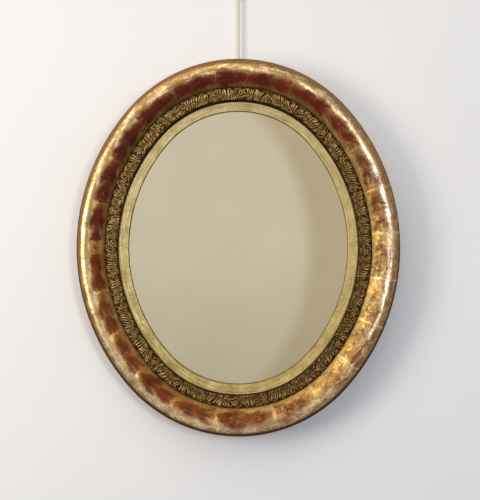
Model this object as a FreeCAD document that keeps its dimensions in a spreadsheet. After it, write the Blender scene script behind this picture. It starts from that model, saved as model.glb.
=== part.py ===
import FreeCAD, Part
import math
import os
import Sketcher
from FreeCAD import Placement, Rotation, Vector

# An oval wall mirror in a gilded cushion moulding, hung from a cord.
# X runs to the right, Z up, and the front faces -Y. The wall is the plane Y = 0.
# The origin is the point on the wall where the hook carries the cord's upper loop.

# Driving dimensions, in millimetres and degrees.
# An inset runs inward from the outer rim, and a depth runs forward from the wall.
DIMENSIONS = {
    "frameHeight": 600,
    "frameWidth": 514,
    "jointAngle": 42,  # from the level line up to the joints between side and end arcs
    # moulding section
    "bevelWidth": 30,  # slope that thins the back towards the rim
    "bevelDepth": 22,
    "rimLip": 4.5,  # upright outer edge
    "crestInset": 18,
    "cushionWidth": 45,
    "cushionDrop": 14,  # crest down to the foot of the cushion
    "quirkDepth": 2.5,  # foot of the cushion down to the seat of the ornament
    "seatWidth": 21,
    "lipThickness": 6,
    "lipReach": 8,  # lip over the rebate
    "rebateDepth": 22,
    # loose tenons in the joints of the moulding
    "tenonInset": 31,
    "tenonLift": 7,
    "tenonWidth": 18,
    "tenonThickness": 8,
    "tenonLength": 40,
    "glueGap": 0.1,
    # pressed ornament
    "stripGap": 0.3,
    "stripRise": 3.5,
    "stripChamfer": 2.5,
    "leafPitch": 50,
    "leafRise": 2.6,
    "leafTaper": 12,
    "leafMargin": 0.5,
    "lobePitch": 7.8,
    "lobeStem": 0.7,
    "lobeHalf": 3.4,
    "lobeSweep": 4,
    "budRadius": 2.4,
    # liner round the glass
    "fitGap": 0.3,
    "linerWall": 11.4,  # outside of the glass
    "slipWidth": 16.5,  # in sight
    "slipLand": 1,  # flat beside the lip
    "slipFall": 3,
    "noseRadius": 2.5,
    "sightEdge": 1.5,
    # glass and the blocks that hold it
    "glassThickness": 4,
    "blockLength": 34,
    "blockWidth": 17,
    "blockClearance": 1,
    # back boards
    "boardThickness": 8,
    "boardOverlap": 12,
    "centreBoardWidth": 150,
    "boardGap": 0.6,
    "nailDiameter": 1.8,
    "nailHeadDiameter": 4.6,
    "nailHeadThickness": 0.8,
    "nailLength": 20,
    # strap hanger with its ring
    "strapClearance": 1,
    "strapThickness": 1,
    "strapWidth": 36,
    "strapHeight": 14,
    "strapCorner": 3,
    "knuckleWidth": 11,
    "wireDiameter": 2.4,
    "runningGap": 0.05,
    "ringWidth": 18,
    "ringCorner": 3,
    "ringSide": 2,
    "screwSpacing": 24,
    "screwInset": 6,
    "screwDiameter": 3.2,
    "screwHeadDiameter": 6.4,
    "screwHeadHeight": 2,
    "screwHeadTaper": 30,
    "screwSlot": 0.8,
    "screwLength": 14,
    # cord
    "cordDiameter": 4,
    "cordGap": 0.3,
    "ringLoopRise": 6,
    "knotLength": 8.5,
    "knotRim": 0.05,
    "knotSwell": 0.1,
    "cordLength": 105.5,
    "hookLoopWidth": 14,
    "hookLoopSpread": 8,
    "hookLoopSide": 12,
}

# Leaf lobes from the bud end to the tip, as shares of the ornament's half width
LOBE_REACH = (0.76, 0.95, 1.0, 0.9, 0.72)
NAILS_PER_SIDE = 4
BLOCKS_PER_ARC = 2

doc = FreeCAD.newDocument("oval_mirror")
sizes = doc.addObject("Spreadsheet::Sheet", "sizes")
for row, (alias, size) in enumerate(DIMENSIONS.items(), start=1):
    sizes.set(f"A{row}", alias)
    sizes.set(f"B{row}", str(size))
    sizes.setAlias(f"B{row}", alias)
doc.recompute()

# Four-centre oval: every ring of the frame keeps these centres and offsets its radii
HALF_WIDTH = "(sizes.frameWidth / 2)"
HALF_HEIGHT = "(sizes.frameHeight / 2)"
JOINT = "(sizes.jointAngle * 1deg)"
SIDE_SHIFT = f"(({HALF_HEIGHT} - {HALF_WIDTH}) / (1 + tan({JOINT}) - 1 / cos({JOINT})))"
END_SHIFT = f"({SIDE_SHIFT} * tan({JOINT}))"
SIDE_RADIUS = f"({HALF_WIDTH} + {SIDE_SHIFT})"
END_RADIUS = f"({HALF_HEIGHT} - {END_SHIFT})"

# Depths of the section
FLAT_BACK = "sizes.boardThickness"
RIM_BACK = f"({FLAT_BACK} + sizes.bevelDepth)"
RIM_FRONT = f"({RIM_BACK} + sizes.rimLip)"
LIP_BACK = f"({FLAT_BACK} + sizes.rebateDepth)"
SEAT = f"({LIP_BACK} + sizes.lipThickness)"
FOOT = f"({SEAT} + sizes.quirkDepth)"
CREST = f"({FOOT} + sizes.cushionDrop)"
NOSE_TOP = f"({LIP_BACK} - sizes.slipFall)"
NOSE_BACK = f"({NOSE_TOP} - sizes.noseRadius)"
GLASS_FRONT = f"({NOSE_BACK} - sizes.sightEdge)"
GLASS_BACK = f"({GLASS_FRONT} - sizes.glassThickness)"
BLOCK_BACK = f"({FLAT_BACK} + sizes.blockClearance)"

# Insets of the section
LIP_EDGE = "(sizes.cushionWidth + sizes.seatWidth)"
REBATE = f"({LIP_EDGE} - sizes.lipReach)"
LINER_EDGE = f"({REBATE} + sizes.fitGap)"
GLASS_REBATE = f"({LINER_EDGE} + sizes.linerWall)"
GLASS_EDGE = f"({GLASS_REBATE} + sizes.fitGap)"
SIGHT = f"({LIP_EDGE} + sizes.slipWidth)"
BOARD_EDGE = f"({REBATE} - sizes.boardOverlap)"
NAIL_LINE = f"({BOARD_EDGE} + sizes.boardOverlap / 2)"
STRIP_MIDDLE = "(sizes.cushionWidth + sizes.seatWidth / 2)"
STRIP_HALF = "(sizes.seatWidth / 2 - sizes.stripGap)"

# Suspension: the ring's bar turns in the knuckle, just above the back boards
KNUCKLE_BORE = "(sizes.wireDiameter / 2 + sizes.runningGap)"
KNUCKLE_RADIUS = f"({KNUCKLE_BORE} + sizes.strapThickness)"
RING_PLANE = f"({FLAT_BACK} - {KNUCKLE_RADIUS})"
HINGE_INSET = f"({BOARD_EDGE} - sizes.strapClearance - sizes.strapHeight)"
RING_HEIGHT = "(sizes.ringCorner + sizes.ringSide + sizes.ringWidth / 2)"
STRAND = "(sizes.wireDiameter / 2 + sizes.cordGap + sizes.cordDiameter / 2)"
HOOK_LOOP_LENGTH = (
    "(sizes.hookLoopSpread + sizes.hookLoopSide + sizes.hookLoopWidth / 2 - sizes.cordDiameter / 2)"
)

# Heights, measured down from the hook
HOOK_KNOT_TOP = f"(-{HOOK_LOOP_LENGTH})"
CORD_TOP = f"({HOOK_KNOT_TOP} - sizes.knotLength)"
CORD_BOTTOM = f"({CORD_TOP} - sizes.cordLength)"
RING_KNOT_BOTTOM = f"({CORD_BOTTOM} - sizes.knotLength)"
RING_TOP = f"({RING_KNOT_BOTTOM} - sizes.ringLoopRise)"
HINGE = f"({RING_TOP} - {RING_HEIGHT})"
CENTRE = f"({HINGE} + {HINGE_INSET} - {HALF_HEIGHT})"

# The four arcs of the oval: turn about the oval's axis, radius, sweep and centre
ARCS = {
    "right": (0, SIDE_RADIUS, f"(2 * {JOINT})", f"(-{SIDE_SHIFT})", "0"),
    "top": (90, END_RADIUS, f"(180deg - 2 * {JOINT})", "0", END_SHIFT),
    "left": (180, SIDE_RADIUS, f"(2 * {JOINT})", SIDE_SHIFT, "0"),
    "bottom": (270, END_RADIUS, f"(180deg - 2 * {JOINT})", "0", f"(-{END_SHIFT})"),
}


def value(expression):
    """The number that an expression on the sheet stands for."""
    result = sizes.evalExpression(expression)
    return float(getattr(result, "Value", result))


def turned(along, across, angle):
    """A point given along and across a direction, turned by that direction's angle."""
    x = f"(({along}) * cos({angle}) - ({across}) * sin({angle}))"
    y = f"(({along}) * sin({angle}) + ({across}) * cos({angle}))"
    return x, y


def new_body(label, x="0", y="0", z=CENTRE, turn=0, lean=None):
    """A body whose own Z faces the front and own Y points up, placed in the part's frame."""
    body = doc.addObject("PartDesign::Body", label)
    body.Label = label
    spin = Rotation(Vector(0, 0, 1), turn)
    if lean:
        spin = spin * Rotation(Vector(0, 1, 0), lean)
    body.Placement = Placement(Vector(), Rotation(Vector(1, 0, 0), 90) * spin)
    for axis, place in (("x", x), ("y", y), ("z", z)):
        body.setExpression(f"Placement.Base.{axis}", place)
    return body


def arc_body(label, side):
    """A body at an arc's centre, with the middle of the arc along its own X."""
    turn, radius, sweep, x, up = ARCS[side]
    return new_body(f"{label}_{side}", x, "0", f"{CENTRE} + {up}", turn), radius, sweep


def hanger_body(label, height, lean=None):
    """A body on the upright line of the cord, in the ring's plane."""
    return new_body(label, "0", f"-{RING_PLANE}", height, 0, lean)


def sketch_on(body, role, lift=None):
    plane = next(item for item in body.Origin.OriginFeatures if item.Role == role)
    sketch = body.newObject("Sketcher::SketchObject", f"{body.Name}_sketch")
    sketch.AttachmentSupport = [(plane, "")]
    sketch.MapMode = "FlatFace"
    if lift:
        sketch.setExpression("AttachmentOffset.Base.z", lift)
    return sketch


def bind(sketch, kind, geometry, expression):
    """Add a dimension to a sketch and tie it to the sheet."""
    index = sketch.addConstraint(Sketcher.Constraint(kind, *geometry, value(expression)))
    sketch.setExpression(f"Constraints[{index}]", expression)


def fix_point(sketch, geometry, end, x, y):
    for kind, place, axis in (("DistanceX", x, -2), ("DistanceY", y, -1)):
        if place == "0":
            sketch.addConstraint(Sketcher.Constraint("PointOnObject", geometry, end, axis))
        else:
            bind(sketch, kind, (-1, 1, geometry, end), place)


def edge_between(start, finish, radius, right_hand):
    """A straight edge, or the shorter arc of a radius that bends to the left or right."""
    if radius is None:
        return Part.LineSegment(start, finish)
    chord = finish - start
    rise = math.sqrt(max(radius**2 - chord.Length**2 / 4, 0))
    normal = Vector(-chord.y, chord.x, 0).normalize()
    centre = (start + finish) * 0.5 + normal * (-rise if right_hand else rise)
    first, last = (finish, start) if right_hand else (start, finish)
    angles = [math.atan2(point.y - centre.y, point.x - centre.x) for point in (first, last)]
    return Part.ArcOfCircle(Part.Circle(centre, Vector(0, 0, 1), radius), *angles)


def draw(sketch, corners, closed=True):
    """Lines and arcs from corner to corner: x and y, then the radius of the arc that
    leaves the corner and "right" if that arc bends to the right."""
    edges = []
    count = len(corners)
    points = [Vector(value(corner[0]), value(corner[1]), 0) for corner in corners]
    for number in range(count if closed else count - 1):
        bend = corners[number][2:]
        radius = value(bend[0]) if bend else None
        right_hand = "right" in bend
        shape = edge_between(points[number], points[(number + 1) % count], radius, right_hand)
        geometry = sketch.addGeometry(shape)
        edges.append((geometry, *((2, 1) if right_hand else (1, 2))))
        fix_point(sketch, geometry, edges[-1][1], *corners[number][:2])
        if bend:
            bind(sketch, "Radius", (geometry,), bend[0])
    for before, after in zip(edges, edges[1:] + edges[:1] if closed else edges[1:]):
        sketch.addConstraint(Sketcher.Constraint("Coincident", before[0], before[2], after[0], after[1]))
    if not closed:
        fix_point(sketch, edges[-1][0], edges[-1][2], *corners[-1][:2])
    return sketch


def draw_circle(sketch, x, y, radius):
    circle = Part.Circle(Vector(value(x), value(y), 0), Vector(0, 0, 1), value(radius))
    geometry = sketch.addGeometry(circle)
    fix_point(sketch, geometry, 3, x, y)
    bind(sketch, "Radius", (geometry,), radius)
    return sketch


def feature(body, kind, sketch, **settings):
    """Add a feature made from a sketch; text settings are expressions on the sheet."""
    item = body.newObject(f"PartDesign::{kind}", f"{body.Name}_{kind.lower()}")
    item.Profile = sketch
    item.Refine = False
    for name, setting in settings.items():
        if isinstance(setting, str) and name not in ("SideType", "Type", "Mode"):
            item.setExpression(name, setting)
        else:
            setattr(item, name, setting)
    body.Tip = item
    return item


def revolve(body, sketch, angle="360deg", middle=False):
    axis = (sketch, ["V_Axis"])
    return feature(body, "Revolution", sketch, ReferenceAxis=axis, Midplane=middle, Angle=angle)


def mirror(body, items, role):
    item = body.newObject("PartDesign::Mirrored", f"{body.Name}_mirror")
    plane = next(plane for plane in body.Origin.OriginFeatures if plane.Role == role)
    item.Originals = items
    item.MirrorPlane = (plane, [""])
    item.Refine = False
    body.Tip = item
    return item


def cut_checked(item, base):
    """Recompute and make sure that a cut took material away from its base."""
    doc.recompute()
    if not item.Shape.Volume < base.Shape.Volume:
        raise RuntimeError(f"{item.Label} cuts nothing")
    return item


def oval(sketch, inset):
    """The four-centre oval at an inset from the rim."""
    end = f"({END_RADIUS} - {inset})"
    side = f"({SIDE_RADIUS} - {inset})"
    x = f"({end} * cos({JOINT}))"
    y = f"({END_SHIFT} + {end} * sin({JOINT}))"
    corners = [(x, f"-{y}", side), (x, y, end), (f"-{x}", y, side), (f"-{x}", f"-{y}", end)]
    return draw(sketch, corners)


def rise_of_arc(run, rise):
    """Radius of an arc that is level at its top and falls by a rise over a run."""
    return f"((({run})^2 + ({rise})^2) / (2 * ({rise})))"


def frame_segment(side):
    """One sawn and turned length of the cushion moulding, with a mortise in each end."""
    body, radius, sweep = arc_body("frame", side)
    outer_arc = rise_of_arc("sizes.crestInset", f"{CREST} - {RIM_FRONT}")
    inner_arc = rise_of_arc("sizes.cushionWidth - sizes.crestInset", "sizes.cushionDrop")
    section = [
        ("sizes.bevelWidth", FLAT_BACK),
        ("0", RIM_BACK),
        ("0", RIM_FRONT, outer_arc),
        ("sizes.crestInset", CREST, inner_arc),
        ("sizes.cushionWidth", FOOT),
        ("sizes.cushionWidth", SEAT),
        (LIP_EDGE, SEAT),
        (LIP_EDGE, LIP_BACK),
        (REBATE, LIP_BACK),
        (REBATE, FLAT_BACK),
    ]
    profile = [(f"({radius} - {inset})", *rest) for inset, *rest in section]
    moulding = revolve(body, draw(sketch_on(body, "XZ_Plane"), profile), sweep, True)

    wall = f"({radius} - sizes.tenonInset + sizes.glueGap)"
    inner_wall = f"({radius} - sizes.tenonInset - sizes.tenonWidth - sizes.glueGap)"
    bottom = "(-sizes.tenonLength / 2 - sizes.glueGap)"
    mouth = "sizes.glueGap"
    mortise = [turned(*corner, f"{sweep} / 2") for corner in
               ((inner_wall, bottom), (wall, bottom), (wall, mouth), (inner_wall, mouth))]
    floor = f"{FLAT_BACK} + sizes.tenonLift - sizes.glueGap"
    sketch = draw(sketch_on(body, "XY_Plane", floor), mortise)
    depth = "sizes.tenonThickness + 2 * sizes.glueGap"
    pocket = cut_checked(feature(body, "Pocket", sketch, Length=depth, Reversed=True), moulding)
    cut_checked(mirror(body, [pocket], "XZ_Plane"), pocket)
    return body


def joint_tenons():
    """The four loose tenons, one across each joint of the moulding."""
    body = new_body("joint_tenons")
    middle = f"({END_RADIUS} - sizes.tenonInset - sizes.tenonWidth / 2)"
    half_width = "(sizes.tenonWidth / 2)"
    half_length = "(sizes.tenonLength / 2)"
    sketch = sketch_on(body, "XY_Plane", f"{FLAT_BACK} + sizes.tenonLift")
    for side_x, side_y in ((1, 1), (-1, 1), (-1, -1), (1, -1)):
        corners = []
        for along, across in ((-1, -1), (1, -1), (1, 1), (-1, 1)):
            x, y = turned(f"{middle} + {along} * {half_width}", f"{across} * {half_length}", JOINT)
            corners.append((f"({side_x} * {x})", f"({side_y} * ({END_SHIFT} + {y}))"))
        draw(sketch, corners)
    feature(body, "Pad", sketch, Length="sizes.tenonThickness")
    return body


def ornament_strip(side):
    """A pressed strip of leaves: a low bed, then lobed leaves with a bud between them."""
    body, radius, sweep = arc_body("ornament", side)
    middle = f"({radius} - {STRIP_MIDDLE})"
    bed = f"({SEAT} + sizes.stripRise)"
    shoulder = f"({bed} - sizes.stripChamfer)"
    top_half = f"({STRIP_HALF} - sizes.stripChamfer)"
    section = [
        (f"{middle} - {STRIP_HALF}", SEAT),
        (f"{middle} + {STRIP_HALF}", SEAT),
        (f"{middle} + {STRIP_HALF}", shoulder),
        (f"{middle} + {top_half}", bed),
        (f"{middle} - {top_half}", bed),
        (f"{middle} - {STRIP_HALF}", shoulder),
    ]
    revolve(body, draw(sketch_on(body, "XZ_Plane"), section), sweep, True)

    count = max(1, round(math.radians(value(sweep)) * value(middle) / value("sizes.leafPitch")))
    first = f"(-{sweep} / 2 + {sweep} / {2 * count})"
    sketch = sketch_on(body, "XY_Plane", bed)
    reach = f"({top_half} - sizes.leafMargin)"
    leaf_start = f"(-{len(LOBE_REACH)} * sizes.lobePitch / 2 - sizes.budRadius)"
    for number, share in enumerate(LOBE_REACH):
        angle = f"({first} + ({leaf_start} + {number} * sizes.lobePitch) / {middle} * 1rad)"
        tip = f"({share} * {reach})"
        half = f"({share} * sizes.lobeHalf)"
        belly = f"((sizes.lobeStem + {tip}) / 2)"
        lobe = [
            ("sizes.lobeStem", "0"),
            (belly, f"sizes.lobeSweep / 2 - {half}"),
            (tip, "sizes.lobeSweep"),
            (belly, f"sizes.lobeSweep / 2 + {half}"),
        ]
        for hand in (1, -1):
            draw(sketch, [turned(f"{middle} + {hand} * {out}", ahead, angle) for out, ahead in lobe])
    bud = f"({first} - ({leaf_start} + sizes.budRadius) / {middle} * 1rad)"
    draw_circle(sketch, *turned(middle, "0", bud), "sizes.budRadius")
    leaf = feature(body, "Pad", sketch, Length="sizes.leafRise", TaperAngle="-sizes.leafTaper * 1deg")
    doc.recompute()

    garland = body.newObject("PartDesign::PolarPattern", f"{body.Name}_garland")
    axis = next(item for item in body.Origin.OriginFeatures if item.Role == "Z_Axis")
    garland.Originals = [leaf]
    garland.Axis = (axis, [""])
    garland.Mode = "Spacing"
    garland.Occurrences = count
    garland.setExpression("Offset", f"{sweep} / {count}")
    garland.Refine = False
    body.Tip = garland
    return body


def liner_segment(side):
    """One length of the slip that frames the glass and carries it in a rebate."""
    body, radius, sweep = arc_body("liner", side)
    section = [
        (LINER_EDGE, GLASS_BACK),
        (LINER_EDGE, LIP_BACK),
        (f"{LIP_EDGE} + sizes.slipLand", LIP_BACK),
        (f"{SIGHT} - sizes.noseRadius", NOSE_TOP, "sizes.noseRadius"),
        (SIGHT, NOSE_BACK),
        (SIGHT, GLASS_FRONT),
        (GLASS_REBATE, GLASS_FRONT),
        (GLASS_REBATE, GLASS_BACK),
    ]
    profile = [(f"({radius} - ({inset}))", *rest) for inset, *rest in section]
    revolve(body, draw(sketch_on(body, "XZ_Plane"), profile), sweep, True)
    return body


def mirror_glass():
    """The silvered plate."""
    body = new_body("mirror_glass")
    sketch = oval(sketch_on(body, "XY_Plane", GLASS_BACK), GLASS_EDGE)
    feature(body, "Pad", sketch, Length="sizes.glassThickness")
    return body


def arc_point(side, inset, angle):
    """A point of an arc's ring at an inset, at the angle that it faces."""
    _, radius, _, shift_x, shift_y = ARCS[side]
    x, y = turned(f"{radius} - {inset}", "0", angle)
    return f"({shift_x} + {x})", f"({shift_y} + {y})"


def even_angles(side, count):
    """Angles spread evenly over an arc, half a step in from its ends."""
    turn, _, sweep = ARCS[side][:3]
    return [f"({turn}deg + {(number + 0.5) / count - 0.5} * {sweep})" for number in range(count)]


def glass_blocks():
    """Blocks behind the edge of the glass, set in from the rebate by the bow of its wall."""
    body = new_body("glass_blocks")
    bow = f"((sizes.blockLength / 2)^2 / (2 * ({END_RADIUS} - {REBATE})) + sizes.fitGap)"
    inset = f"({REBATE} + {bow} + sizes.blockWidth / 2)"
    half_width = "sizes.blockWidth / 2"
    half_length = "sizes.blockLength / 2"
    sketch = sketch_on(body, "XY_Plane", BLOCK_BACK)
    for side in ARCS:
        for angle in even_angles(side, BLOCKS_PER_ARC):
            x, y = arc_point(side, inset, angle)
            corners = []
            for out, across in ((-1, -1), (1, -1), (1, 1), (-1, 1)):
                step_x, step_y = turned(f"{out} * {half_width}", f"{across} * {half_length}", angle)
                corners.append((f"({x} + {step_x})", f"({y} + {step_y})"))
            draw(sketch, corners)
    feature(body, "Pad", sketch, Length=f"{GLASS_BACK} - {BLOCK_BACK}")
    return body


def board_corner(x):
    """Half the height of the back at a distance from its middle, within the end arcs."""
    return f"({END_SHIFT} + sqrt(({END_RADIUS} - {BOARD_EDGE})^2 - ({x})^2))"


def centre_board():
    body = new_body("back_board_centre")
    x = "(sizes.centreBoardWidth / 2)"
    y = board_corner(x)
    end = f"({END_RADIUS} - {BOARD_EDGE})"
    corners = [(x, f"-{y}"), (x, y, end), (f"-{x}", y), (f"-{x}", f"-{y}", end)]
    feature(body, "Pad", draw(sketch_on(body, "XY_Plane"), corners), Length="sizes.boardThickness")
    return body


def side_board(side):
    body = new_body(f"back_board_{side}", turn=ARCS[side][0])
    edge = "(sizes.centreBoardWidth / 2 + sizes.boardGap)"
    high = board_corner(edge)
    end = f"({END_RADIUS} - {BOARD_EDGE})"
    joint_x = f"({end} * cos({JOINT}))"
    joint_y = f"({END_SHIFT} + {end} * sin({JOINT}))"
    corners = [
        (edge, f"-{high}", end),
        (joint_x, f"-{joint_y}", f"({SIDE_RADIUS} - {BOARD_EDGE})"),
        (joint_x, joint_y, end),
        (edge, high),
    ]
    feature(body, "Pad", draw(sketch_on(body, "XY_Plane"), corners), Length="sizes.boardThickness")
    return body


def board_nails():
    """Cut nails through the boards' edges into the moulding, heads flush with the back.
    Across each end, every board has its own pair: halfway out to the seams for the centre
    board, and halfway from the seam to the joint for the side boards."""
    body = new_body("board_nails")
    heads = sketch_on(body, "XY_Plane")
    shanks = sketch_on(body, "XY_Plane")
    seam = f"acos((sizes.centreBoardWidth + sizes.boardGap) / 2 / ({END_RADIUS} - {NAIL_LINE}))"
    points = [arc_point(side, NAIL_LINE, angle)
              for side in ("left", "right") for angle in even_angles(side, NAILS_PER_SIDE)]
    for angle in (f"(({seam} + {JOINT}) / 2)", f"(({seam} + 90deg) / 2)"):
        for facing in (angle, f"(180deg - {angle})"):
            points += [arc_point("top", NAIL_LINE, facing), arc_point("bottom", NAIL_LINE, f"(-{facing})")]
    for x, y in points:
        draw_circle(heads, x, y, "sizes.nailHeadDiameter / 2")
        draw_circle(shanks, x, y, "sizes.nailDiameter / 2")
    feature(body, "Pad", heads, Length="sizes.nailHeadThickness")
    feature(body, "Pad", shanks, Length="sizes.nailLength")
    return body


def hanger_plate():
    """Pressed strap with a rolled knuckle on its upper edge."""
    body = hanger_body("hanger_plate", HINGE)
    feature(
        body, "Pad", draw_circle(sketch_on(body, "YZ_Plane"), "0", "0", KNUCKLE_RADIUS),
        Length="sizes.knuckleWidth", SideType="Symmetric",
    )
    half = "(sizes.strapWidth / 2)"
    tongue = "(sizes.knuckleWidth / 2)"
    top = f"(-{KNUCKLE_RADIUS})"
    bottom = "(-sizes.strapHeight)"
    corner = "sizes.strapCorner"
    outline = [
        (f"-{half} + {corner}", bottom),
        (f"{half} - {corner}", bottom, corner),
        (half, f"{bottom} + {corner}"),
        (half, f"{top} - {corner}", corner),
        (f"{half} - {corner}", top),
        (tongue, top),
        (tongue, "0"),
        (f"-{tongue}", "0"),
        (f"-{tongue}", top),
        (f"-{half} + {corner}", top, corner),
        (f"-{half}", f"{top} - {corner}"),
        (f"-{half}", f"{bottom} + {corner}", corner),
    ]
    sketch = draw(sketch_on(body, "XY_Plane", KNUCKLE_BORE), outline)
    strap = feature(body, "Pad", sketch, Length="sizes.strapThickness")
    sketch = draw_circle(sketch_on(body, "YZ_Plane"), "0", "0", KNUCKLE_BORE)
    bore = feature(body, "Pocket", sketch, Type="ThroughAll", SideType="Symmetric")
    cut_checked(bore, strap)
    holes = sketch_on(body, "XY_Plane", KNUCKLE_BORE)
    for hand in (1, -1):
        x = f"({hand} * sizes.screwSpacing / 2)"
        draw_circle(holes, x, f"{bottom} + sizes.screwInset", "sizes.screwDiameter / 2 + sizes.glueGap")
    cut_checked(feature(body, "Pocket", holes, Length="sizes.strapThickness", Reversed=True), bore)
    return body


def hanger_screws():
    """Round-headed screws through the strap, with slotted heads."""
    body = hanger_body("hanger_screws", f"{HINGE} - sizes.strapHeight + sizes.screwInset")
    x = "(sizes.screwSpacing / 2)"
    head_radius = "(sizes.screwHeadDiameter / 2)"
    shank = sketch_on(body, "XY_Plane", KNUCKLE_BORE)
    heads = sketch_on(body, "XY_Plane", KNUCKLE_BORE)
    slots = sketch_on(body, "XY_Plane", f"{KNUCKLE_BORE} - sizes.screwHeadHeight")
    for hand in (1, -1):
        draw_circle(shank, f"{hand} * {x}", "0", "sizes.screwDiameter / 2")
        draw_circle(heads, f"{hand} * {x}", "0", head_radius)
        left, right = (f"{hand} * {x} + {end} * {head_radius}" for end in (-1, 1))
        slot = [(left, "-sizes.screwSlot / 2"), (right, "-sizes.screwSlot / 2"),
                (right, "sizes.screwSlot / 2"), (left, "sizes.screwSlot / 2")]
        draw(slots, slot)
    feature(body, "Pad", shank, Length="sizes.screwLength")
    taper = "-sizes.screwHeadTaper * 1deg"
    domes = feature(body, "Pad", heads, Length="sizes.screwHeadHeight", Reversed=True, TaperAngle=taper)
    cut_checked(feature(body, "Pocket", slots, Length="sizes.screwHeadHeight / 2", Reversed=True), domes)
    return body


def tube(body, spine_sketch, profile_sketch, area):
    """Sweep a round section along straight runs and arcs, and compare the volume."""
    pipe = feature(body, "AdditivePipe", profile_sketch, Spine=(spine_sketch, []))
    doc.recompute()
    length = spine_sketch.Shape.Length
    radii = sorted({round(edge.Curve.Radius, 2) for edge in spine_sketch.Shape.Edges
                    if isinstance(edge.Curve, Part.Circle)})
    print(f"{body.Label}: {length:.1f} mm of tube, bends of radius {radii} mm")
    if abs(pipe.Shape.Volume / (area * length) - 1) > 0.01:
        raise RuntimeError(f"{body.Label}: swept volume is off its section times its length")
    return pipe


def hanging_ring():
    """D-shaped wire ring, its straight bar through the knuckle."""
    body = hanger_body("hanging_ring", HINGE)
    half = "(sizes.ringWidth / 2)"
    bar = f"({half} - sizes.ringCorner)"
    spring = "(sizes.ringCorner + sizes.ringSide)"
    path = [
        ("0", "0"),
        (bar, "0", "sizes.ringCorner"),
        (half, "sizes.ringCorner"),
        (half, spring, half),
        ("0", RING_HEIGHT, half),
        (f"-{half}", spring),
        (f"-{half}", "sizes.ringCorner", "sizes.ringCorner"),
        (f"-{bar}", "0"),
    ]
    spine = draw(sketch_on(body, "XY_Plane"), path)
    wire = draw_circle(sketch_on(body, "YZ_Plane"), "0", "0", "sizes.wireDiameter / 2")
    doc.recompute()
    tube(body, spine, wire, math.pi * value("sizes.wireDiameter / 2")**2)
    return body


def cord_loop(label, height, path, lean=None):
    """A loop of the cord that starts and ends on the knot, on its own X axis."""
    body = hanger_body(label, height, lean)
    spine = draw(sketch_on(body, "XY_Plane"), path, closed=False)
    cord = draw_circle(sketch_on(body, "XZ_Plane"), path[0][0], "0", "sizes.cordDiameter / 2")
    doc.recompute()
    tube(body, spine, cord, math.pi * value("sizes.cordDiameter / 2")**2)
    return body


def ring_loop():
    """The cord's turn round the wire of the ring, below the lower knot."""
    drop = "(-sizes.ringLoopRise)"
    path = [
        (f"-{STRAND}", "0"),
        (f"-{STRAND}", drop, STRAND),
        ("0", f"{drop} - {STRAND}", STRAND),
        (STRAND, drop),
        (STRAND, "0"),
    ]
    return cord_loop("ring_loop", RING_KNOT_BOTTOM, path, lean=90)


def hook_loop():
    """The loop that hangs on the wall hook, above the upper knot."""
    half = "(sizes.hookLoopWidth / 2)"
    spread = "sizes.hookLoopSpread"
    bend = f"((({half} - {STRAND})^2 + {spread}^2) / (4 * ({half} - {STRAND})))"
    middle = f"(({half} + {STRAND}) / 2)"
    straight = f"({spread} + sizes.hookLoopSide)"
    path = [
        (STRAND, "0", bend, "right"),
        (middle, f"{spread} / 2", bend),
        (half, spread),
        (half, straight, half),
        ("0", f"{straight} + {half}", half),
        (f"-{half}", straight),
        (f"-{half}", spread, bend),
        (f"-{middle}", f"{spread} / 2", bend, "right"),
        (f"-{STRAND}", "0"),
    ]
    return cord_loop("hook_loop", HOOK_KNOT_TOP, path)


def cord_knot(label, height):
    """The lump of a drawn knot, flat where the strands leave it."""
    body = hanger_body(label, height)
    rim = f"({STRAND} + sizes.cordDiameter / 2 + sizes.knotRim)"
    bulge = rise_of_arc("sizes.knotLength / 2", "sizes.knotSwell")
    corners = [("0", "0"), (rim, "0", bulge), (rim, "sizes.knotLength"), ("0", "sizes.knotLength")]
    revolve(body, draw(sketch_on(body, "XY_Plane"), corners))
    return body


def hanging_cord():
    """The straight, loaded run between the two knots."""
    body = hanger_body("hanging_cord", CORD_BOTTOM)
    sketch = draw_circle(sketch_on(body, "XZ_Plane"), "0", "0", "sizes.cordDiameter / 2")
    feature(body, "Pad", sketch, Length="sizes.cordLength", Reversed=True)
    return body


parts = []
for side_name in ARCS:
    parts += [frame_segment(side_name), ornament_strip(side_name), liner_segment(side_name)]
parts += [joint_tenons(), mirror_glass(), glass_blocks()]
parts += [centre_board(), side_board("left"), side_board("right"), board_nails()]
parts += [hanger_plate(), hanger_screws(), hanging_ring()]
parts += [ring_loop(), cord_knot("ring_knot", RING_KNOT_BOTTOM), hanging_cord()]
parts += [cord_knot("hook_knot", CORD_TOP), hook_loop()]
doc.recompute()

for item in doc.Objects:
    if "Invalid" in item.State or "Error" in item.State:
        raise RuntimeError(f"{item.Label} did not recompute: {item.State}")
for part in parts:
    if part.Shape.isNull() or not part.Shape.isValid() or not part.Shape.Solids:
        raise RuntimeError(f"{part.Label} has no valid solid")

os.makedirs("parts", exist_ok=True)
for part in parts:
    part.Shape.exportStep(f"parts/{part.Label}.step")
    box = part.Shape.BoundBox
    spans = [f"{axis} {getattr(box, axis + 'Min'):.2f} to {getattr(box, axis + 'Max'):.2f}" for axis in "XYZ"]
    solids = f"{len(part.Shape.Solids)} solid, {part.Shape.Volume / 1000:.2f} cm3"
    print(f"{part.Label}: {solids}, {', '.join(spans)}")
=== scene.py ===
import math
from functools import partial

import bpy
import numpy as np
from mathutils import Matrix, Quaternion, Vector, noise


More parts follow.
